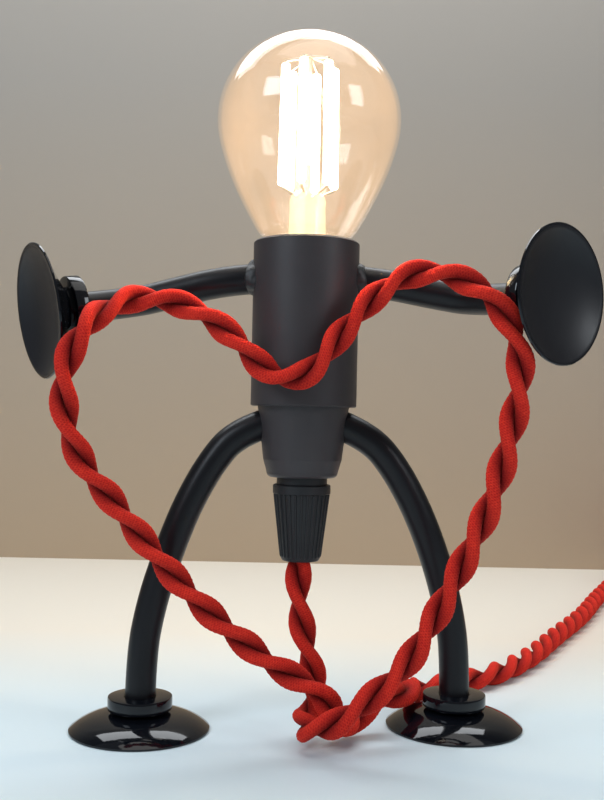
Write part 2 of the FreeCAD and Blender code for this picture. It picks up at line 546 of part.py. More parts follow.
def make_plug():
    x, y, z = CORD_END_BEND[-1]
    boot_end = y - PLUG_BOOT_LENGTH
    boot = turned([(CORD_R + 0.2, 0), (PLUG_BOOT_R - 0.5, 0), (PLUG_BOOT_R, 1.0), (6.2, PLUG_BOOT_LENGTH),
                   (0, PLUG_BOOT_LENGTH), (0, 8.0), (CORD_R + 0.2, 8.0)])
    pieces["plug_boot"] = placed(boot, (x, y + 8.0, z), (0, -1, 0))
    body_back = y + 8.0 - PLUG_BOOT_LENGTH
    face = body_back - PLUG_BODY_LENGTH
    half, tail, bevel = PLUG_FACE_WIDTH / 2, PLUG_TAIL_WIDTH / 2, 4.0
    corners = [(-tail, body_back), (tail, body_back), (half - 2, face + 14), (half, face + 10), (half, face),
               (-half, face), (-half, face + 10), (-half + 2, face + 14)]
    base = Part.makePolygon([FreeCAD.Vector(x + cx, cy, z - PLUG_HEIGHT / 2) for cx, cy in corners + corners[:1]])
    body = Part.Face(base).extrude(FreeCAD.Vector(0, 0, PLUG_HEIGHT))
    ends = []
    for side in (-1, 1):
        for top in (-1, 1):
            edge = block((bevel * 1.42, 60, bevel * 1.42), (0, 0, 0))
            edge.rotate(FreeCAD.Vector(), FreeCAD.Vector(0, 1, 0), 45)
            edge.translate(FreeCAD.Vector(x + side * half, face + 20, z + top * PLUG_HEIGHT / 2))
            ends.append(edge)
    pieces["plug_body"] = body.cut(Part.makeCompound(ends))
    pins = []
    for side in (-1, 1):
        centre = FreeCAD.Vector(x + side * PIN_SPACING / 2, face, z)
        pin = turned([(0, 0), (PIN_R, 0), (PIN_R, PIN_LENGTH - 1.2),
                      (0.84 * PIN_R, PIN_LENGTH - 0.4, PIN_R / 2, PIN_LENGTH), (0, PIN_LENGTH)])
        pins.append(placed(pin, tuple(centre), (0, -1, 0)))
    pieces["plug_pins"] = Part.makeCompound(pins)


def save():
    os.makedirs("parts", exist_ok=True)
    for name, shape in pieces.items():
        shape.translate(FreeCAD.Vector(0, AXIS_Y, 0))
        shape.exportStep("parts/%s.step" % name)
        print("%-18s solids %d  volume %9.1f  valid %s" % (name, len(shape.Solids), shape.Volume, shape.isValid()))


for make in (make_skirt, make_cap, make_carrier, make_terminals, make_screw_shell, make_centre_contact,
             make_grip_body, make_grip_nut, make_leads, make_base, make_glass, make_stem, make_filaments,
             make_cups, make_limbs, make_beads, make_cord, make_plug):
    make()
save()
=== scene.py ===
import json
import math

import bpy
from mathutils import Matrix, Vector


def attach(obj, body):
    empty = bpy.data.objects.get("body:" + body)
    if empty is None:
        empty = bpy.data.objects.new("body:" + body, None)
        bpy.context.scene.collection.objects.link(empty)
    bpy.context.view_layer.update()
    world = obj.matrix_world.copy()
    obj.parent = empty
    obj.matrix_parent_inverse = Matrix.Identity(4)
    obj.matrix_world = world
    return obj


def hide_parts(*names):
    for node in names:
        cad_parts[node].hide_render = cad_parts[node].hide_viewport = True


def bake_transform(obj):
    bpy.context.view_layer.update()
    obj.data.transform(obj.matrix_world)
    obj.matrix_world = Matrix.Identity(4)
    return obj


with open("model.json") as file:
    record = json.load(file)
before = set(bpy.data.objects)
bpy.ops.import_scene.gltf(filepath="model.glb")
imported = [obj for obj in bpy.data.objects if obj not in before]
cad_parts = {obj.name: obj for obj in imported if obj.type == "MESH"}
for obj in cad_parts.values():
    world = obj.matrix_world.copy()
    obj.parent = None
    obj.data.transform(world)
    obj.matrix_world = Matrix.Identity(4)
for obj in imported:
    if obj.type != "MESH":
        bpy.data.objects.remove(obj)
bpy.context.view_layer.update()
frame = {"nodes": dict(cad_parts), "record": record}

# Sizes in millimetres about the lamp's upright axis, as in the part's source.
# metres() takes a point to the frame.
MM = 0.001
AXIS_Y = 5.7
TURNED_SIDES = 96

# Ribbed nut of the cord grip
NUT_BOTTOM, NUT_TOP, NUT_RIB_TOP = 41.2, 59.9, 57.7
NUT_FLANGE_R, NUT_TOP_R, NUT_FOOT_R, NUT_RIBS = 7.1, 6.9, 5.1, 28
NUT_BORE_R, SHANK_WAY_R = 3.65, 5.15

# Limbs
CABLE_R = 3.7
CABLE_STEP, CABLE_SIDES, TIP_GAP = 1.0, 56, 0.1
ARM_ROOT_X, ARM_ROOT_Z, ARM_DROOP, ARM_FIRST_BEND_X = 11.75, 110.2, 0.085, 20.0
ARM_BLEND_START_X, ARM_BLEND_END_X = 15.0, 36.0
LEG_ROOT_X, LEG_ROOT_Z, LEG_BLEND_START = 9.3, 74.6, (12.0, 73.6)
HAND_RIM_R, HAND_HEAD_BACK, HAND_BORE_END, WRIST_RUN = 16.0, 10.4, 4.7, 24.0
FOOT_RIM_R, FOOT_HEAD_TOP, FOOT_BORE_END = 16.9, 8.2, 2.6
HEAD_R, HEAD_THICK, CUP_NECK_R, CUP_WEB, CUP_LIP = 7.8, 3.2, 5.2, 1.4, 0.5
HAND_BACK_BOW, FOOT_BACK_BOW = ((10.2, 3.4), (5.6, 6.1)), ((12.7, 3.0), (7.4, 4.2))
LEFT_HAND, LEFT_HAND_AXIS = (-63.0, -11.0, 100.0), (-0.848, -0.509, -0.148)
RIGHT_HAND, RIGHT_HAND_AXIS = (57.5, -23.0, 105.1), (0.652, -0.758, 0.0)
LEFT_FOOT, RIGHT_FOOT = (-38.1, -3.5, 0.0), (39.2, 4.5, 0.0)
LEFT_ARM_BEND, RIGHT_ARM_BEND = (-31.0, 1.0, 106.8), (31.0, -1.2, 107.2)
LEFT_LEG_BEND = ((-16.5, -0.5, 72.0), (-22.5, -1.2, 64.5), (-28.0, -1.9, 54.0), (-32.4, -2.6, 42.0),
                 (-36.0, -3.2, 30.0), (-38.1, -3.5, 17.5))
RIGHT_LEG_BEND = ((16.5, 0.4, 71.8), (23.0, 1.2, 64.3), (29.0, 2.2, 53.5), (33.8, 3.3, 41.5),
                  (37.3, 4.2, 29.5), (39.2, 4.5, 17.0))

# Filaments, whose feet and heads are (radius, height), and the middle of the bulb
FILAMENTS, FILAMENT_R, FILAMENT_FOOT, FILAMENT_HEAD = 6, 1.1, (6.6, 132.8), (6.2, 162.8)
FILAMENT_PHASE, BULB_CENTRE = 0.25, 149.1

# Twisted cord: the same route as in the part's source
CORD_LENGTH, CORD_D, STRAND_R, STRAND_OFFSET = 1790.0, 6.6, 1.72, 1.6
TWIST_PITCH, TWIST_PHASE, YARN_REPEAT, YARN_RISE = 23.5, 0.82, 1.2, 0.06
CORD_SEEN, SEEN_STEP, COILED_STEP, STRAND_SIDES = 700.0, 0.46, 0.95, 16
CORD_DROP = ((0.0, 0.0, 49.0), (0.0, 0.0, 42.5), (-0.5, -0.5, 36.0), (0.0, -1.5, 29.5), (1.5, -2.5, 22.5),
             (3.5, -3.0, 16.0), (4.0, -4.0, 10.5), (3.0, -7.5, 6.5), (1.5, -12.3, 5.0), (2.0, -17.5, 5.0),
             (5.5, -21.8, 6.2), (10.3, -23.6, 9.3), (15.5, -24.0, 13.5), (24.0, -22.5, 20.6))
CORD_LOOP = ((31.2, -22.0, 33.3), (36.5, -22.5, 44.5), (43.0, -23.0, 59.5), (47.0, -24.0, 77.0),
             (48.5, -24.5, 89.5), (45.2, -24.4, 99.4), (39.5, -20.8, 106.5), (31.5, -16.2, 110.6),
             (22.5, -14.6, 110.0), (14.5, -15.0, 103.5), (8.5, -16.0, 96.0), (4.0, -17.0, 89.6),
             (0.0, -17.4, 85.6), (-6.3, -17.4, 85.1), (-11.2, -16.8, 89.0), (-17.0, -15.2, 95.3),
             (-25.0, -13.2, 100.9), (-35.0, -12.3, 103.9), (-43.2, -15.7, 102.4), (-48.4, -24.2, 96.8),
             (-52.4, -26.2, 88.6), (-53.6, -25.0, 78.5), (-50.6, -21.0, 66.0), (-42.0, -17.5, 55.0),
             (-32.5, -16.5, 43.0), (-22.0, -16.5, 32.0), (-10.5, -15.5, 22.5), (-3.5, -14.5, 17.5))
CORD_TAIL = ((2.8, -14.5, 14.5), (6.8, -15.0, 11.3), (8.3, -14.9, 7.5), (9.9, -13.0, 4.6), (11.8, -9.9, 3.2),
             (13.6, -6.5, 3.7), (16.8, -3.3, 6.4), (21.2, -2.2, 8.9), (25.3, 0.1, 8.8), (27.7, 4.9, 7.9),
             (27.8, 11.0, 6.6), (29.2, 17.5, 5.0), (32.0, 23.5, 3.9), (38.0, 28.9, 3.3), (46.0, 34.5, 3.3),
             (59.0, 46.0, 3.3), (73.0, 67.0, 3.3), (88.0, 98.0, 3.3), (107.0, 134.0, 3.3),
             (122.0, 170.0, 3.3))
COIL_CENTRE, COIL_OUTER_R, COIL_STEP = (192.0, 216.0), 45.0, 7.2
COIL_ENTRY, COIL_TURNS, COIL_LAYER_RISE = 158.0, 4 + 158.0 / 360.0, 7.2
COIL_STRAIGHT, COIL_APPROACH, COIL_POINTS = 6.6, 28.0, 16

# Plug, its strain relief (the boot) and the cord's way into it
PLUG_Z = 6.85
PLUG_BACK, PLUG_FACE, PLUG_SIDES, PLUG_CORNER = 142.0, 108.0, 48, 0.45
BOOT_START, BOOT_LENGTH, BOOT_RINGS = 168.0, 26.0, 53
BOOT_R, BOOT_FLARE, BOOT_RIBS, BOOT_GROOVE = 4.4, 1.7, 6, 0.45
CORD_END_LEAD = 10.0
CORD_END_BEND = ((236.6, 188.0, 8.0), (235.0, 174.0, PLUG_Z), (235.0, 160.0, PLUG_Z))

# The photograph's view: the eye in front of the lamp, a little above half its height
VIEW_DISTANCE, VIEW_HEIGHT, VIEW_X = 250.0, 76.7, -0.3
VIEW_LENS, VIEW_SENSOR, VIEW_ROLL, VIEW_SHIFT = 45.77, 36.0, 1.2, 0.02


def metres(point):
    return Vector((point[0], point[1] + AXIS_Y, point[2])) * MM


class Socket:
    """One output in a node tree; arithmetic on it adds Math nodes."""

    def __init__(self, sheet, output):
        self.sheet = sheet
        self.output = output

    def math(self, operation, *values):
        return self.sheet.node("ShaderNodeMath", {"operation": operation}, *values)

    def __add__(self, other):
        return self.math("ADD", self, other)

    def __radd__(self, other):
        return self.math("ADD", other, self)

    def __sub__(self, other):
        return self.math("SUBTRACT", self, other)

    def __rsub__(self, other):
        return self.math("SUBTRACT", other, self)

    def __mul__(self, other):
        return self.math("MULTIPLY", self, other)

    def __rmul__(self, other):
        return self.math("MULTIPLY", other, self)

    def __truediv__(self, other):
        return self.math("DIVIDE", self, other)

    def __pow__(self, other):
        return self.math("POWER", self, other)

    def sine(self):
        return self.math("SINE", self)

    def larger(self, other):
        return self.math("MAXIMUM", self, other)


class Sheet:
    """A node tree that is filled by method calls."""

    def __init__(self, tree):
        self.tree = tree

    def feed(self, entry, value):
        if isinstance(value, Socket):
            self.tree.links.new(value.output, entry)
        else:
            entry.default_value = value

    def node(self, kind, settings=None, *values, out=0, **named):
        """Adds a node: its settings first, then its inputs in order or by name, with _ for a space."""
        made = self.tree.nodes.new(kind)
        settings = dict(settings or {})
        for position, colour in settings.pop("stops", ()):
            ramp = made.color_ramp.elements
            stop = ramp[0] if position == 0.0 else ramp[-1] if position == 1.0 else ramp.new(position)
            stop.color = colour
        for name, value in settings.items():
            setattr(made, name, value)
        for index, value in enumerate(values):
            self.feed(made.inputs[index], value)
        for name, value in named.items():
            self.feed(made.inputs[name.replace("_", " ")], value)
        return Socket(self, made.outputs[out])

    def place(self):
        return self.node("ShaderNodeTexCoord", out="Object")

    def noise(self, scale, detail=3.0, place=None):
        where = self.place() if place is None else place
        return self.node("ShaderNodeTexNoise", Vector=where, Scale=scale, Detail=detail)

    def stretched(self, x, y, z):
        return self.node("ShaderNodeMapping", Vector=self.place(), Scale=(x, y, z))

    def between(self, share, low, high):
        return self.node("ShaderNodeMapRange", None, share, 0.0, 1.0, low, high)

    def mixed(self, share, first, second):
        made = self.tree.nodes.new("ShaderNodeMix")
        made.data_type = "RGBA"
        self.feed(made.inputs[0], share)
        self.feed(made.inputs[6], first)
        self.feed(made.inputs[7], second)
        return Socket(self, made.outputs[2])

    def entry(self, name):
        """An input of the whole tree."""
        return self.node("NodeGroupInput", out=name)

    def slant(self):
        """How much a thin pane mirrors: little when seen straight on, nearly all when seen edge on."""
        facing = self.node("ShaderNodeLayerWeight", None, 0.5, out="Facing")
        return facing ** 5.0 * 0.9 + 0.03

    def bump(self, height, depth):
        return self.node("ShaderNodeBump", None, Height=height, Distance=depth)


def finish_made_of(name, paint):
    """A material whose shader is what paint(sheet) returns."""
    material = bpy.data.materials.new(name)
    material.use_nodes = True
    tree = material.node_tree
    tree.nodes.clear()
    shader = paint(Sheet(tree))
    end = tree.nodes.new("ShaderNodeOutputMaterial")
    tree.links.new(shader.output, end.inputs["Surface"])
    return material


def colour(red, green, blue):
    return (red, green, blue, 1.0)


def moulded(name, dark, light, rough, grain=1800.0, depth=0.00002, shine=0.5):
    """Moulded plastic or rubber: faint mottling, uneven gloss and a fine grain."""
    def paint(sheet):
        cloud = sheet.noise(90.0, 4.0)
        base = sheet.mixed(cloud, dark, light)
        gloss = sheet.between(sheet.noise(240.0, 5.0), rough[0], rough[1])
        relief = sheet.bump(sheet.noise(grain, 2.0), depth)
        return sheet.node("ShaderNodeBsdfPrincipled", Base_Color=base, Roughness=gloss, Normal=relief,
                          Specular_IOR_Level=shine)
    return finish_made_of(name, paint)


def soft_vinyl(name):
    """Black vinyl, glossy on the back of a cup and dull where the hollow attribute is 1."""
    def paint(sheet):
        hollow = sheet.node("ShaderNodeAttribute", {"attribute_name": "hollow"}, out="Fac")
        back = sheet.mixed(sheet.noise(90.0, 4.0), colour(0.002, 0.003, 0.005), colour(0.005, 0.006, 0.009))
        base = sheet.mixed(hollow, back, colour(0.008, 0.008, 0.011))
        gloss = hollow * 0.32 + sheet.between(sheet.noise(240.0, 5.0), 0.04, 0.10)
        relief = sheet.bump(sheet.noise(500.0, 2.0), 0.000015)
        return sheet.node("ShaderNodeBsdfPrincipled", Base_Color=base, Roughness=gloss, Normal=relief,
                          Specular_IOR_Level=0.4)
    return finish_made_of(name, paint)


def metal(name, dark, light, rough):
    """Bare metal with fine streaks drawn out round the lamp."""
    def paint(sheet):
        streaks = sheet.noise(900.0, 3.0, sheet.stretched(1.0, 1.0, 6.0))
        base = sheet.mixed(streaks, dark, light)
        gloss = sheet.between(sheet.noise(300.0, 4.0), rough[0], rough[1])
        return sheet.node("ShaderNodeBsdfPrincipled", Base_Color=base, Roughness=gloss, Metallic=1.0,
                          Normal=sheet.bump(streaks, 0.00001))
    return finish_made_of(name, paint)


def textile(name):
    """Braided cotton over one core, from the strand's own UV map: x goes round it, y along it.

    It is darker where the groove attribute nears 1, with painted shade deep between the strands.
    """
    def paint(sheet):
        yarns, climb = 8.0, 2.0
        weave = sheet.node("ShaderNodeUVMap", {"uv_map": "weave"})
        around = sheet.node("ShaderNodeSeparateXYZ", None, weave, out="X")
        along = sheet.node("ShaderNodeSeparateXYZ", None, weave, out="Y")
        turn = 2 * math.pi
        over = ((around * yarns + along * climb) * turn).sine()
        under = ((around * yarns - along * climb) * turn).sine()
        ridge = over.larger(under * 0.9) * 0.5 + 0.5
        fuzz = sheet.noise(1900.0, 4.0)
        height = ridge * 0.35 + fuzz * 0.65
        # The ramp darkens the hollows between the yarns with painted shade and lightens the yarn crowns with
        # painted light, over the weave's own pattern.
        shade = sheet.node("ShaderNodeValToRGB", {"stops": (
            (0.0, colour(0.20, 0.003, 0.008)), (0.42, colour(0.46, 0.006, 0.009)),
            (1.0, colour(0.94, 0.062, 0.028)))}, height)
        wear_and_groove_shade = sheet.mixed(sheet.noise(140.0, 3.0) * 0.4, shade, colour(0.90, 0.056, 0.028))
        # Painted shade: the groove attribute darkens the strands where they face each other, deep between
        # them.
        groove = sheet.node("ShaderNodeAttribute", {"attribute_name": "groove"}, out="Fac")
        wear_and_groove_shade = sheet.mixed(groove ** 1.4 * 0.92, wear_and_groove_shade, colour(0.07, 0.001, 0.004))
        return sheet.node("ShaderNodeBsdfPrincipled", Base_Color=wear_and_groove_shade, Roughness=0.84, Sheen_Weight=0.12,
                          Sheen_Roughness=0.4, Sheen_Tint=colour(1.0, 0.28, 0.14), Specular_IOR_Level=0.12,
                          Normal=sheet.bump(height, 0.00016))
    return finish_made_of(name, paint)


def clear_glass(name, haze, lit, tint):
    """Thin clear glass: it mirrors at a slant and is otherwise open, with a haze that glows with painted warm
    light of its own, standing in for the filaments' light caught in the glass.
    """
    def paint(sheet):
        glow_veil = sheet.noise(55.0, 4.0) * haze[1] + haze[0]
        open_air = sheet.node("ShaderNodeBsdfTransparent", Color=colour(*tint))
        # Painted glow: the hazy share of the glass emits warm light though it is no lamp.
        warm = sheet.node("ShaderNodeBsdfPrincipled", Base_Color=colour(0.02, 0.016, 0.012), Roughness=0.6,
                          Emission_Color=colour(1.0, 0.62, 0.34), Emission_Strength=lit)
        skin = sheet.node("ShaderNodeBsdfPrincipled", Base_Color=colour(0.98, 0.98, 0.98), Roughness=0.02,
                          Metallic=1.0)
        body = sheet.node("ShaderNodeMixShader", None, glow_veil, open_air, warm)
        return sheet.node("ShaderNodeMixShader", None, sheet.slant(), body, skin)
    return finish_made_of(name, paint)


def glowing(name, tint, strength):
    def paint(sheet):
        grain = sheet.noise(1500.0, 2.0)
        glow = sheet.mixed(grain, colour(*tint), colour(1.0, 0.93, 0.78))
        return sheet.node("ShaderNodeBsdfPrincipled", Base_Color=colour(1.0, 0.82, 0.45), Roughness=0.6,
                          Emission_Color=glow, Emission_Strength=strength)
    return finish_made_of(name, paint)


def printed_board(name):
    def paint(sheet):
        lines = sheet.node("ShaderNodeTexWave", {"bands_direction": "X"}, Vector=sheet.place(), Scale=180.0,
                           Distortion=3.0)
        base = sheet.mixed(lines, colour(0.02, 0.12, 0.05), colour(0.06, 0.26, 0.11))
        return sheet.node("ShaderNodeBsdfPrincipled", Base_Color=base, Roughness=0.35)
    return finish_made_of(name, paint)


def stone(name):
    """Glazed ceramic with pale speckles."""
    def paint(sheet):
        speck = sheet.noise(1400.0, 2.0)
        base = sheet.mixed(speck, colour(0.80, 0.78, 0.72), colour(0.92, 0.91, 0.86))
        return sheet.node("ShaderNodeBsdfPrincipled", Base_Color=base, Roughness=0.22,
                          Normal=sheet.bump(sheet.noise(500.0), 0.00002))
    return finish_made_of(name, paint)


FINISHES = {
    "holder_black": moulded("satin_bakelite", colour(0.026, 0.022, 0.024), colour(0.044, 0.036, 0.038),
                            (0.42, 0.54)),
    "grip_black": moulded("moulded_nylon", colour(0.005, 0.005, 0.006), colour(0.010, 0.010, 0.012),
                          (0.42, 0.55)),
    "cable_black": moulded("cable_sheath", colour(0.003, 0.003, 0.005), colour(0.006, 0.006, 0.008),
                           (0.30, 0.42), grain=700.0, shine=0.3),
    "cup_black": soft_vinyl("cup_vinyl"),
    "glue_black": moulded("dried_glue", colour(0.006, 0.006, 0.007), colour(0.014, 0.014, 0.015), (0.35, 0.6),
                          grain=650.0, depth=0.00025),
    "carrier_white": stone("steatite"),
    "contact_brass": metal("sheet_brass", colour(0.62, 0.44, 0.18), colour(0.82, 0.64, 0.32), (0.22, 0.38)),
    "screw_steel": metal("zinc_steel", colour(0.50, 0.50, 0.52), colour(0.66, 0.66, 0.68), (0.25, 0.4)),
    "lead_blue": moulded("blue_core", colour(0.03, 0.13, 0.45), colour(0.06, 0.2, 0.6), (0.3, 0.42)),
    "lead_brown": moulded("brown_core", colour(0.2, 0.08, 0.03), colour(0.32, 0.14, 0.06), (0.3, 0.42)),
    "cord_red": textile("red_braid"),
    "plug_black": moulded("plug_shell", colour(0.012, 0.012, 0.013), colour(0.024, 0.024, 0.026),
                          (0.34, 0.46), grain=1200.0),
    "pin_nickel": metal("pin_nickel", colour(0.62, 0.60, 0.56), colour(0.80, 0.78, 0.73), (0.14, 0.26)),
    # The envelope and the stem glow with painted light in their haze.
    "bulb_clear": clear_glass("envelope_glass", (0.02, 0.08), 2.6, (0.985, 0.975, 0.955)),
    "stem_glass": clear_glass("stem_glass", (0.25, 0.2), 3.0, (0.98, 0.96, 0.92)),
    "filament_warm": glowing("lit_phosphor", (1.0, 0.86, 0.60), 14.0),
    "bulb_wire": metal("support_wire", colour(0.42, 0.40, 0.37), colour(0.62, 0.59, 0.55), (0.3, 0.5)),
    "cap_nickel": metal("nickel_base", colour(0.60, 0.59, 0.56), colour(0.78, 0.77, 0.73), (0.18, 0.32)),
    "insulator_black": moulded("vitrite", colour(0.012, 0.012, 0.016), colour(0.03, 0.03, 0.036), (0.1, 0.2)),
    "solder": metal("solder", colour(0.52, 0.52, 0.53), colour(0.70, 0.70, 0.70), (0.3, 0.5)),
    "board_green": printed_board("circuit_board"),
}


def placed_object(name, data):
    thing = bpy.data.objects.new(name, data)
    bpy.context.scene.collection.objects.link(thing)
    return thing


def piece(name, mesh, slot, body, *replaced):
    """A finished mesh as a piece that rides on a body and takes the place of CAD nodes."""
    mesh.materials.clear()
    mesh.materials.append(FINISHES[slot])
    thing = placed_object(name, mesh)
    if body:
        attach(thing, body)
    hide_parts(*replaced)
    return thing


def mesh_from(name, points, faces, crease=None):
    """A smooth mesh; edges that bend by more than the crease angle, in degrees, stay sharp."""
    mesh = bpy.data.meshes.new(name)
    mesh.from_pydata([tuple(p) for p in points], [], faces)
    mesh.shade_smooth()
    if crease:
        mesh.set_sharp_from_angle(angle=math.radians(crease))
    return mesh


def marked(mesh, name, values):
    """Gives a mesh one number per point, which its material reads by name."""
    mesh.attributes.new(name, "FLOAT", "POINT").data.foreach_set("value", values)


def nurbs(name, points, steps):
    """A smooth NURBS spline whose control points are given in metres, as an object."""
    data = bpy.data.curves.new(name, "CURVE")
    data.dimensions = "3D"
    data.resolution_u = steps
    spline = data.splines.new("NURBS")
    spline.points.add(len(points) - 1)
    for control, point in zip(spline.points, points):
        control.co = (*point, 1.0)
    spline.order_u = 3
    spline.use_endpoint_u = True
    return placed_object(name, data)


def curve_points(points, steps=16):
    """Points read along the smooth spline."""
    thing = nurbs("route", points, steps)
    bpy.context.view_layer.update()
    mesh = bpy.data.meshes.new_from_object(thing)
    line = [vertex.co.copy() for vertex in mesh.vertices]
    bpy.data.curves.remove(thing.data)
    bpy.data.meshes.remove(mesh)
    return line


def geometry_sheet(name, *entries):
    """An empty Geometry Nodes tree; entries are the name, kind and first value of each of its inputs."""
    tree = bpy.data.node_groups.new(name, "GeometryNodeTree")
    tree.interface.new_socket("Geometry", in_out="INPUT", socket_type="NodeSocketGeometry")
    for entry, kind, value in entries:
        made = tree.interface.new_socket(entry, in_out="INPUT", socket_type="NodeSocket" + kind)
        made.default_value = value
    tree.interface.new_socket("Material", in_out="INPUT", socket_type="NodeSocketMaterial")
    tree.interface.new_socket("Geometry", in_out="OUTPUT", socket_type="NodeSocketGeometry")
    return Sheet(tree)


def closed(sheet, geometry):
    """Ends a Geometry Nodes tree: real, smooth and painted."""
    whole = sheet.node("GeometryNodeRealizeInstances", None, geometry)
    smooth = sheet.node("GeometryNodeSetShadeSmooth", None, whole)
    painted = sheet.node("GeometryNodeSetMaterial", Geometry=smooth, Material=sheet.entry("Material"))
    end = sheet.tree.nodes.new("NodeGroupOutput")
    sheet.tree.links.new(painted.output, end.inputs["Geometry"])
    return sheet.tree


def ring_tree():
    """Copies of the incoming mesh, turned evenly about the upright axis."""
    sheet = geometry_sheet("ring_of_copies", ("Count", "Int", 6), ("Start Turn", "Float", 0.0))
    count = sheet.entry("Count")
    spots = sheet.node("GeometryNodePoints", None, count)
    angle = (sheet.node("GeometryNodeInputIndex") + sheet.entry("Start Turn")) * (2 * math.pi) / count
    turned_by = sheet.node("ShaderNodeCombineXYZ", None, 0.0, 0.0, angle)
    copies = sheet.node("GeometryNodeInstanceOnPoints", Points=spots, Instance=sheet.entry("Geometry"),
                        Rotation=sheet.node("FunctionNodeEulerToRotation", None, turned_by))
    return closed(sheet, copies)


def cable_tree():
    """A round cable along the incoming curve, with closed ends."""
    sheet = geometry_sheet("cable_along_curve", ("Radius", "Float", 0.001), ("Step", "Float", 0.001),
                           ("Sides", "Int", 48))
    path = sheet.node("GeometryNodeResampleCurve", {"mode": "LENGTH"}, Curve=sheet.entry("Geometry"),
                      Length=sheet.entry("Step"))
    ring = sheet.node("GeometryNodeCurvePrimitiveCircle", Resolution=sheet.entry("Sides"),
                      Radius=sheet.entry("Radius"))
    tube = sheet.node("GeometryNodeCurveToMesh", Curve=path, Profile_Curve=ring, Fill_Caps=True)
    return closed(sheet, tube)


def grown(host, tree, slot, **values):
    """The mesh that a tree makes of a host object, which is then removed."""
    numbers = {item.name: item.identifier for item in tree.interface.items_tree if item.in_out == "INPUT"}
    modifier = host.modifiers.new(tree.name, "NODES")
    modifier.node_group = tree
    modifier[numbers["Material"]] = FINISHES[slot]
    for entry, value in values.items():
        modifier[numbers[entry.replace("_", " ")]] = value
    bpy.context.view_layer.update()
    ready = host.evaluated_get(bpy.context.evaluated_depsgraph_get())
    mesh = bpy.data.meshes.new_from_object(ready)
    bpy.data.objects.remove(host)
    return mesh


def stations(line):
    """Points a step apart along a line, each with its distance; the step is finer where the cord is seen."""
    made = [(line[0], 0.0)]
    gone, wanted = 0.0, SEEN_STEP * MM
    for start, end in zip(line, line[1:]):
        span = (end - start).length
        while gone + span >= wanted:
            made.append((start.lerp(end, (wanted - gone) / span), wanted))
            wanted += (SEEN_STEP if wanted < CORD_SEEN * MM else COILED_STEP) * MM
        gone += span
    return made


def carried_frames(line):
    """Direction and two side vectors at each point, turned as little as possible along the line."""
    ahead = [(b - a).normalized() for a, b in zip(line, line[1:])]
    ahead.append(ahead[-1])
    for index in range(len(line) - 2, 0, -1):
        ahead[index] = (ahead[index] + ahead[index - 1]).normalized()
    side = ahead[0].orthogonal().normalized()
    frames = []
    before = ahead[0]
    for direction in ahead:
        side = before.rotation_difference(direction) @ side
        side = (side - direction * side.dot(direction)).normalized()
        frames.append((direction, side, direction.cross(side)))
        before = direction
    return frames


def ring_faces(rings, sides, first):
    """Faces of a closed tube of point rings, the first of whose points is numbered first."""
    faces = []
    for ring in range(rings - 1):
        for side in range(sides):
            a, b = first + ring * sides + side, first + ring * sides + (side + 1) % sides
            faces.append((a, b, b + sides, a + sides))
    last = first + (rings - 1) * sides
    faces.append(tuple(first + side for side in reversed(range(sides))))
    faces.append(tuple(last + side for side in range(sides)))
    return faces


def strand_angle(gone, phase):
    """Where a strand stands round the cord's centre line, that far along it."""
    return -2 * math.pi * gone / (TWIST_PITCH * MM) + phase


def strand_points(places, frames, phase):
    """Rings of one strand that winds round the cord's centre line; diagonal yarns ripple its surface."""
    points = []
    for (place, gone), (ahead, right, up) in zip(places, frames):
        angle = strand_angle(gone, phase)
        centre = place + (right * math.cos(angle) + up * math.sin(angle)) * STRAND_OFFSET * MM
        wave = 2 * math.pi * gone / (YARN_REPEAT * MM)
        for side in range(STRAND_SIDES):
            turn = 2 * math.pi * side / STRAND_SIDES
            ripple = max(math.sin(4 * turn + wave), math.sin(4 * turn - wave))
            radius = (STRAND_R + YARN_RISE * (ripple - 1)) * MM
            points.append(centre + (right * math.cos(turn) + up * math.sin(turn)) * radius)
    return points


def groove_shade_marks(places, phase):
    """How far each point of a strand faces the cord's centre line, from 0 outside to 1 inside: the mask of
    the painted shade between the strands.
    """
    marks = []
    for place, gone in places:
        angle = strand_angle(gone, phase)
        for side in range(STRAND_SIDES):
            marks.append(0.5 - 0.5 * math.cos(2 * math.pi * side / STRAND_SIDES - angle))
    return marks


def square_to(ahead):
    """Two directions square to a given one and to each other."""
    right = ahead.orthogonal().normalized()
    return right, ahead.cross(right)


def ring_round(centre, right, up, radius, sides):
    """Points evenly round a circle, in the circle's own units."""
    ring = []
    for side in range(sides):
        angle = 2 * math.pi * side / sides
        ring.append(centre + (right * math.cos(angle) + up * math.sin(angle)) * radius)
    return ring


def spun(profile, origin, axis):
    """A skin turned about any axis; a flat face closes the profile's first and last (radius, height)."""
    ahead = Vector(axis).normalized()
    right, up = square_to(ahead)
    points = []
    for radius, height in profile:
        ring = ring_round(Vector(origin) + ahead * height, right, up, radius, TURNED_SIDES)
        points += [metres(point) for point in ring]
    return points, ring_faces(len(profile), TURNED_SIDES, 0)


def turned(profile):
    """A solid of revolution about the lamp's axis; the profile is a closed loop of (radius, height)."""
    points, faces = [], []
    for side in range(TURNED_SIDES):
        angle = 2 * math.pi * side / TURNED_SIDES
        points += [metres((r * math.cos(angle), r * math.sin(angle), z)) for r, z in profile]
    count = len(profile)
    for side in range(TURNED_SIDES):
        here, there = side * count, (side + 1) % TURNED_SIDES * count
        for index in range(count):
            after = (index + 1) % count
            faces.append((here + index, there + index, there + after, here + after))
    return points, faces


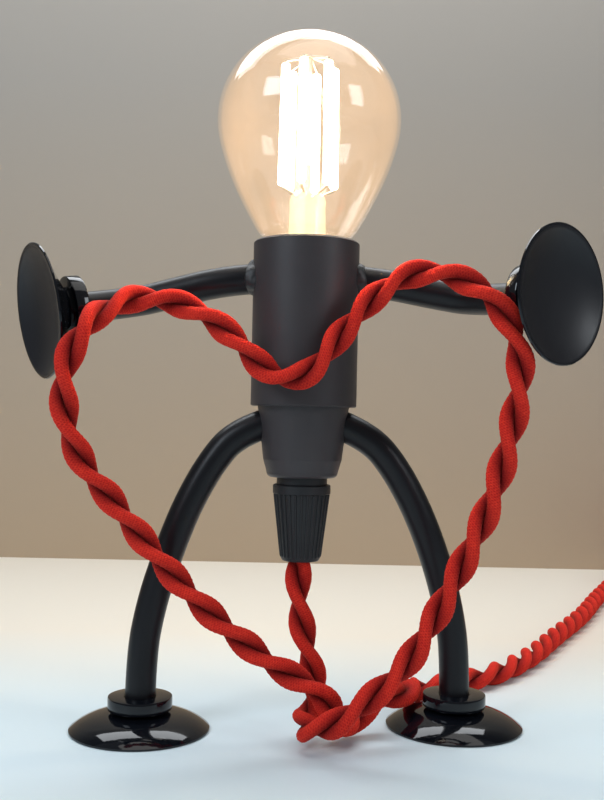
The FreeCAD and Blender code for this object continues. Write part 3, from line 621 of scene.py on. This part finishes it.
def coil_place(turned_by):
    """Point and direction of the put-away coil after so many turns clockwise, in millimetres."""
    half = COIL_TURNS / 2
    inward = min(turned_by, COIL_TURNS - turned_by)
    radius = COIL_OUTER_R - COIL_STEP * inward
    climb = min(max((turned_by - half + 0.25) / 0.5, 0.0), 1.0)
    z = CORD_D / 2 + COIL_LAYER_RISE * (0.5 - 0.5 * math.cos(math.pi * climb))
    growth = COIL_STEP if turned_by > half else -COIL_STEP
    angle = math.radians(COIL_ENTRY) - 2 * math.pi * turned_by
    out = Vector((math.cos(angle), math.sin(angle), 0))
    ahead = Vector((math.sin(angle), -math.cos(angle), 0)) * 2 * math.pi * radius + out * growth
    return Vector((*COIL_CENTRE, z)), out, radius, ahead.normalized()


def cord_route():
    """The whole cord as control points: drop, loop, tail, coil and the end that goes into the plug."""
    centre, out, radius, leave = coil_place(0.0)
    coil_start = centre + out * radius - leave * COIL_STRAIGHT
    route = [*CORD_DROP, *CORD_LOOP, *CORD_TAIL, coil_start - leave * COIL_APPROACH, coil_start]
    steps = round(COIL_TURNS * COIL_POINTS)
    swell = 1 / math.cos(math.pi / COIL_POINTS)
    for step in range(steps + 1):
        centre, out, radius, ahead = coil_place(COIL_TURNS * step / steps)
        end_point = step in (0, steps)
        route.append(centre + out * radius * (1.0 if end_point else swell))
    coil_end = route[-1] + ahead * COIL_STRAIGHT
    route += [coil_end, coil_end + ahead * CORD_END_LEAD, *CORD_END_BEND]
    return [metres(point) for point in route]


def weave_map(mesh, places):
    """UV map of the strands: x goes round a strand, y along it in yarn repeats."""
    layer = mesh.uv_layers.new(name="weave")
    rings = len(places)
    for face in mesh.polygons:
        sides = [mesh.loops[i].vertex_index % STRAND_SIDES for i in face.loop_indices]
        seam = len(sides) == 4 and 0 in sides and STRAND_SIDES - 1 in sides
        for i, side in zip(face.loop_indices, sides):
            ring = mesh.loops[i].vertex_index // STRAND_SIDES % rings
            around = 1.0 if seam and side == 0 else side / STRAND_SIDES
            layer.data[i].uv = (around, places[ring][1] / (YARN_REPEAT * MM))


def make_cord():
    line = curve_points(cord_route())
    places = stations(line)
    frames = carried_frames([place for place, gone in places])
    points = strand_points(places, frames, TWIST_PHASE)
    faces = ring_faces(len(places), STRAND_SIDES, 0)
    faces += ring_faces(len(places), STRAND_SIDES, len(points))
    points += strand_points(places, frames, TWIST_PHASE + math.pi)
    mesh = mesh_from("textile_cord", points, faces)
    weave_map(mesh, places)
    # These marks mask the painted shade between the two strands.
    marks = groove_shade_marks(places, TWIST_PHASE) + groove_shade_marks(places, TWIST_PHASE + math.pi)
    marked(mesh, "groove", marks)
    cord = piece("textile_cord", mesh, "cord_red", "torso",
                 "cord_drop", "cord_loop", "cord_tail", "cord_coil", "cord_end")
    tuple(metres((0, 0, NUT_BOTTOM)))


def limb(name, start, end, route):
    spine = nurbs(name + "_spine", [metres(point) for point in route], 24)
    mesh = grown(spine, CABLE_TREE, "cable_black", Radius=CABLE_R * MM, Step=CABLE_STEP * MM,
                 Sides=CABLE_SIDES)
    sheath = piece(name + "_sheath", mesh, "cable_black", None, name + "_cable")
    tuple(metres(start))
    tuple(metres(end))
    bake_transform(sheath)


def arm_point(side, x):
    return (side * x, 0.0, ARM_ROOT_Z - ARM_DROOP * (x - ARM_ROOT_X))


def make_limbs():
    hands = (("left", -1, LEFT_ARM_BEND, LEFT_HAND, LEFT_HAND_AXIS),
             ("right", 1, RIGHT_ARM_BEND, RIGHT_HAND, RIGHT_HAND_AXIS))
    for name, side, bend, rim, axis in hands:
        back = Vector(axis).normalized() * -1
        wrist = Vector(rim) + back * WRIST_RUN
        tip = Vector(rim) + back * (HAND_BORE_END + TIP_GAP)
        route = (arm_point(side, ARM_ROOT_X), arm_point(side, ARM_FIRST_BEND_X), bend, wrist, tip)
        start, end = arm_point(side, ARM_BLEND_START_X), arm_point(side, ARM_BLEND_END_X)
        limb(name + "_arm", start, end, route)
    blend_x, blend_z = LEG_BLEND_START
    for name, side, bend in (("left", -1, LEFT_LEG_BEND), ("right", 1, RIGHT_LEG_BEND)):
        tip = (bend[-1][0], bend[-1][1], FOOT_BORE_END + TIP_GAP)
        route = ((side * LEG_ROOT_X, 0, LEG_ROOT_Z), *bend, tip)
        limb(name + "_leg", (side * blend_x, 0, blend_z), bend[2], route)


def slim_rod(start, end, widths, sides=12):
    """A rod with closed ends whose radius changes along it; widths are (share of its length, radius)."""
    start, end = Vector(start), Vector(end)
    right, up = square_to((end - start).normalized())
    points = []
    for share, radius in widths:
        points += [point * MM for point in ring_round(start.lerp(end, share), right, up, radius, sides)]
    return points, ring_faces(len(widths), sides, 0)


def ring_piece(name, rod, count, phase, slot, body, *replaced):
    """Rods set evenly round the lamp's axis."""
    host = placed_object(name + "_one", mesh_from(name + "_one", *rod))
    mesh = grown(host, RING_TREE, slot, Count=count, Start_Turn=phase)
    mesh.transform(Matrix.Translation((0, AXIS_Y * MM, 0)))
    return piece(name, mesh, slot, body, *replaced)


def make_nut():
    """Flanged nut: a smooth tapered body, and ribs of its own round it."""
    root = 0.28
    taper = [(NUT_FOOT_R - 1.1, NUT_BOTTOM), (NUT_FOOT_R - 0.6, NUT_BOTTOM + 0.15),
             (NUT_FOOT_R - root, NUT_BOTTOM + 0.7), (NUT_TOP_R - root, NUT_RIB_TOP - 0.3)]
    flange = [(NUT_TOP_R - root, NUT_RIB_TOP), (NUT_FLANGE_R - 0.1, NUT_RIB_TOP),
              (NUT_FLANGE_R, NUT_RIB_TOP + 0.1), (NUT_FLANGE_R, NUT_TOP - 0.25),
              (NUT_FLANGE_R - 0.25, NUT_TOP), (SHANK_WAY_R + 0.2, NUT_TOP), (SHANK_WAY_R, NUT_TOP - 0.2)]
    inside = [(SHANK_WAY_R, NUT_BOTTOM + 7.4), (NUT_BORE_R, NUT_BOTTOM + 3.2), (NUT_BORE_R, NUT_BOTTOM + 0.2),
              (NUT_BORE_R + 0.2, NUT_BOTTOM)]
    mesh = mesh_from("grip_nut_body", *turned(taper + flange + inside), crease=30)
    piece("grip_nut_body", mesh, "grip_black", "torso", "grip_nut")
    foot = (NUT_FOOT_R - root, 0, NUT_BOTTOM + 0.9)
    head = (NUT_TOP_R - root, 0, NUT_RIB_TOP - 0.1)
    widths = ((0.0, 0.06), (0.01, 0.2), (0.03, 0.28), (0.5, 0.31), (0.98, 0.34), (1.0, 0.3))
    rib = slim_rod(foot, head, widths)
    ring_piece("grip_nut_ribs", rib, NUT_RIBS, 0.0, "grip_black", "torso", "grip_nut")


def bowed(start, middle, end, steps=24):
    """Points of a profile that follow its start, on a smooth bow through a middle point to its end."""
    start, middle, end = Vector(start), Vector(middle), Vector(end)
    pull = middle * 2 - (start + end) / 2
    shares = [step / steps for step in range(1, steps + 1)]
    return [tuple(start * (1 - s) ** 2 + pull * 2 * s * (1 - s) + end * s ** 2) for s in shares]


def make_cup(name, rim_r, head_back, bore_end, bow, rim, axis):
    """Suction cup with its rim centred on a point; bow is the middle and the end of its rounded back."""
    hollow_top, head_front, bevel = bore_end - CUP_WEB, head_back - HEAD_THICK, 0.4
    hollow = [(0.4, hollow_top)]
    hollow += bowed(hollow[0], (rim_r * 0.54, hollow_top * 0.72), (rim_r - 0.9, 0.0))
    lip = [(rim_r - 0.2, 0.0), (rim_r, 0.15), (rim_r, CUP_LIP)]
    back = bowed(lip[-1], *bow) + [(CUP_NECK_R, bow[1][1] + 0.4), (CUP_NECK_R, head_front)]
    head = [(HEAD_R - bevel, head_front), (HEAD_R - 0.1, head_front + 0.1), (HEAD_R, head_front + bevel),
            (HEAD_R, head_back - bevel), (HEAD_R - 0.1, head_back - 0.1), (HEAD_R - bevel, head_back),
            (CABLE_R + 0.25, head_back), (CABLE_R + 0.05, head_back - 0.2), (CABLE_R + 0.05, bore_end)]
    outside = lip + back + head
    mesh = mesh_from(name + "_suction_cup", *spun(hollow + outside, rim, axis), crease=32)
    marked(mesh, "hollow", [1.0] * len(hollow) * TURNED_SIDES + [0.0] * len(outside) * TURNED_SIDES)
    piece(name + "_suction_cup", mesh, "cup_black", name, name + "_cup")


def make_cups():
    hands = (("left_hand", LEFT_HAND, LEFT_HAND_AXIS), ("right_hand", RIGHT_HAND, RIGHT_HAND_AXIS))
    for name, rim, axis in hands:
        make_cup(name, HAND_RIM_R, HAND_HEAD_BACK, HAND_BORE_END, HAND_BACK_BOW, rim, -Vector(axis))
    for name, rim in (("left_foot", LEFT_FOOT), ("right_foot", RIGHT_FOOT)):
        make_cup(name, FOOT_RIM_R, FOOT_HEAD_TOP, FOOT_BORE_END, FOOT_BACK_BOW, rim, (0, 0, 1))


def make_beads():
    """Uneven beads of dried glue where the arms enter the skirt."""
    rings, sides = 14, 72
    for name, side, phase in (("left", -1, 0.4), ("right", 1, 2.1)):
        ahead = Vector((side, 0, -ARM_DROOP)).normalized()
        right, up = square_to(ahead)
        points = []
        for ring in range(rings):
            share = ring / (rings - 1)
            for step in range(sides):
                turn = 2 * math.pi * step / sides
                lump = 1 + 0.3 * math.sin(3 * turn + phase) + 0.2 * math.sin(7 * turn - 2 * phase)
                radius = CABLE_R - 0.05 + 0.95 * lump * math.cos(share * math.pi / 2) ** 0.7
                reach = share * (2.6 + 0.5 * math.sin(2 * turn + phase))
                out = right * math.cos(turn) + up * math.sin(turn)
                points.append(metres(Vector(arm_point(side, 11.9)) + ahead * reach + out * radius))
        mesh = mesh_from(name + "_glue_bead", points, ring_faces(rings, sides, 0))
        piece(name + "_glue_bead", mesh, "glue_black", "torso", name + "_shoulder_bead")


def make_filaments():
    """Phosphor rods, as uneven as dipped ones at their ends."""
    (foot_r, foot_z), (head_r, head_z) = FILAMENT_FOOT, FILAMENT_HEAD
    foot, head = (foot_r, 0, foot_z), (head_r, 0, head_z)
    full = FILAMENT_R
    widths = ((0.0, 0.45 * full), (0.008, 0.8 * full), (0.02, full), (0.98, full), (0.992, 0.8 * full),
              (1.0, 0.45 * full))
    ring_piece("filament_rods", slim_rod(foot, head, widths, 16), FILAMENTS, FILAMENT_PHASE, "filament_warm",
               "bulb", "led_filaments")


def squared_ring(x, y, half_width, half_height):
    """A rounded rectangle across the plug, in metres."""
    ring = []
    for side in range(PLUG_SIDES):
        angle = 2 * math.pi * side / PLUG_SIDES
        across, tall = math.cos(angle), math.sin(angle)
        ring.append(metres((x + half_width * math.copysign(abs(across) ** PLUG_CORNER, across), y,
                            PLUG_Z + half_height * math.copysign(abs(tall) ** PLUG_CORNER, tall))))
    return ring


def make_plug():
    """Flat two-pin plug with a waist to hold it by; the shell lists (y, half its width, half its height)."""
    x = CORD_END_BEND[-1][0]
    shell = ((PLUG_BACK, 6.6, 5.6), (PLUG_BACK - 0.5, 7.3, 6.2), (PLUG_BACK - 8, 8.2, 6.7),
             (PLUG_BACK - 14, 11.6, 6.8), (PLUG_BACK - 20, 15.6, 6.8), (PLUG_BACK - 25, 17.1, 6.8),
             (PLUG_FACE + 1.2, 17.4, 6.8), (PLUG_FACE + 0.3, 17.2, 6.6), (PLUG_FACE, 16.6, 6.0))
    points = [point for y, wide, tall in shell for point in squared_ring(x, y, wide, tall)]
    mesh = mesh_from("plug_shell", points, ring_faces(len(shell), PLUG_SIDES, 0))
    piece("plug_shell", mesh, "plug_black", "torso", "plug_body")


def make_strain_relief():
    """Ribbed sleeve that widens from the cord to the plug."""
    x = CORD_END_BEND[-1][0]
    points = []
    for ring in range(BOOT_RINGS):
        share = ring / (BOOT_RINGS - 1)
        ribbed = 0.08 < share < 0.92
        groove = BOOT_GROOVE * max(0.0, math.sin(2 * BOOT_RIBS * math.pi * share)) if ribbed else 0.0
        rounding = 0.5 if ring in (0, BOOT_RINGS - 1) else 0.0
        radius = BOOT_R + BOOT_FLARE * share - groove - rounding
        y = BOOT_START - BOOT_LENGTH * share
        for side in range(PLUG_SIDES):
            angle = 2 * math.pi * side / PLUG_SIDES
            points.append(metres((x + radius * math.cos(angle), y, PLUG_Z + radius * math.sin(angle))))
    mesh = mesh_from("plug_strain_relief", points, ring_faces(BOOT_RINGS, PLUG_SIDES, 0))
    piece("plug_strain_relief", mesh, "plug_black", "torso", "plug_boot")


def dress_cad_nodes():
    slots = {part["node"]: part["material_slot"] for part in frame["record"]["subparts"]}
    for node, thing in frame["nodes"].items():
        thing.data.materials.clear()
        thing.data.materials.append(FINISHES[slots[node]])


def plane(name, corners, paint):
    mesh = mesh_from(name, [Vector(corner) * MM for corner in corners], [(0, 1, 2, 3)])
    mesh.materials.append(finish_made_of(name + "_paint", paint))
    placed_object(name, mesh)


def make_stage():
    def table(sheet):
        """Pale, with painted light: a cool daylight tint in front of the lamp and a warm lamp-light tint
        behind it.
        """
        depth = sheet.node("ShaderNodeSeparateXYZ", None, sheet.place(), out="Y")
        # Painted light: cool daylight in front of the lamp, the lamp's warm light behind it.
        painted_light_tone = sheet.mixed((depth - 0.02) * 11.0, colour(0.64, 0.77, 0.82), colour(0.79, 0.74, 0.64))
        cloud = sheet.mixed(sheet.noise(4.0, 2.0) * 0.15, painted_light_tone, colour(0.9, 0.9, 0.9))
        return sheet.node("ShaderNodeBsdfPrincipled", Base_Color=cloud, Roughness=0.42)

    def wall(sheet):
        """Warm beige, warmer and brighter at its foot with painted lamp light and greyer and darker towards
        its top with painted shade; its back is open, so that it hides nothing from behind.
        """
        height = sheet.node("ShaderNodeSeparateXYZ", None, sheet.place(), out="Z")
        # Painted light and shade: the lamp's warm light at the foot of the wall, shade greying its top.
        painted_light_tone = sheet.mixed(height * 4.0, colour(0.41, 0.31, 0.21), colour(0.28, 0.26, 0.235))
        cloud = sheet.mixed(sheet.noise(3.0, 2.0) * 0.2, painted_light_tone, colour(0.46, 0.40, 0.33))
        front_side = sheet.node("ShaderNodeBsdfPrincipled", Base_Color=cloud, Roughness=0.9)
        from_behind = sheet.node("ShaderNodeNewGeometry", out="Backfacing")
        return sheet.node("ShaderNodeMixShader", None, from_behind, front_side,
                          sheet.node("ShaderNodeBsdfTransparent"))

    half, wall_y, top = 1500, 285, 1800
    plane("table_top", ((-half, -half, 0), (half, -half, 0), (half, half, 0), (-half, half, 0)), table)
    plane("wall", ((-half, wall_y, 0), (half, wall_y, 0), (half, wall_y, top), (-half, wall_y, top)), wall)


def lamp(name, kind, place, power, tint):
    data = bpy.data.lights.new(name, kind)
    data.energy = power
    data.color = tint
    thing = placed_object(name, data)
    thing.location = metres(place)
    return thing


def panel(name, place, target, size, power, tint):
    """A rectangular soft light that faces a target."""
    thing = lamp(name, "AREA", place, power, tint)
    thing.data.shape = "RECTANGLE"
    thing.data.size, thing.data.size_y = size[0] * MM, size[1] * MM
    thing.rotation_euler = (metres(target) - thing.location).to_track_quat("-Z", "Y").to_euler()


def make_lights():
    panel("window_left", (-420, -380, 430), (0, 0, 70), (230, 270), 1.9, (0.80, 0.90, 1.0))
    panel("window_right", (430, -260, 330), (0, 0, 60), (150, 210), 0.7, (0.90, 0.95, 1.0))
    panel("window_back", (-30, 200, 430), (0, 0, 80), (560, 150), 1.5, (0.92, 0.96, 1.0))
    panel("room_top", (60, -40, 640), (0, 40, 0), (500, 400), 1.0, (1.0, 0.98, 0.95))
    glow = lamp("filament_glow", "POINT", (0, 0, BULB_CENTRE), 0.4, (1.0, 0.72, 0.42))
    glow.data.shadow_soft_size = 9 * MM
    glow.visible_glossy = False
    world = bpy.data.worlds.new("room")
    world.use_nodes = True
    background = world.node_tree.nodes["Background"]
    background.inputs["Color"].default_value = colour(0.84, 0.86, 0.90)
    background.inputs["Strength"].default_value = 0.22
    bpy.context.scene.world = world


def make_camera():
    data = bpy.data.cameras.new("view")
    data.lens, data.sensor_width, data.shift_y = VIEW_LENS, VIEW_SENSOR, VIEW_SHIFT
    data.clip_start, data.clip_end = 0.01, 10.0
    eye = placed_object("view", data)
    level = Matrix.Rotation(math.pi / 2, 4, "X") @ Matrix.Rotation(math.radians(VIEW_ROLL), 4, "Z")
    eye.matrix_world = Matrix.Translation(metres((VIEW_X, -VIEW_DISTANCE, VIEW_HEIGHT))) @ level
    bpy.context.scene.camera = eye


RING_TREE = ring_tree()
CABLE_TREE = cable_tree()
bpy.context.scene.view_settings.view_transform = "Standard"
make_camera()
make_stage()
make_lights()
dress_cad_nodes()
make_plug()
make_strain_relief()
make_cord()
make_limbs()
make_nut()
make_cups()
make_beads()
make_filaments()
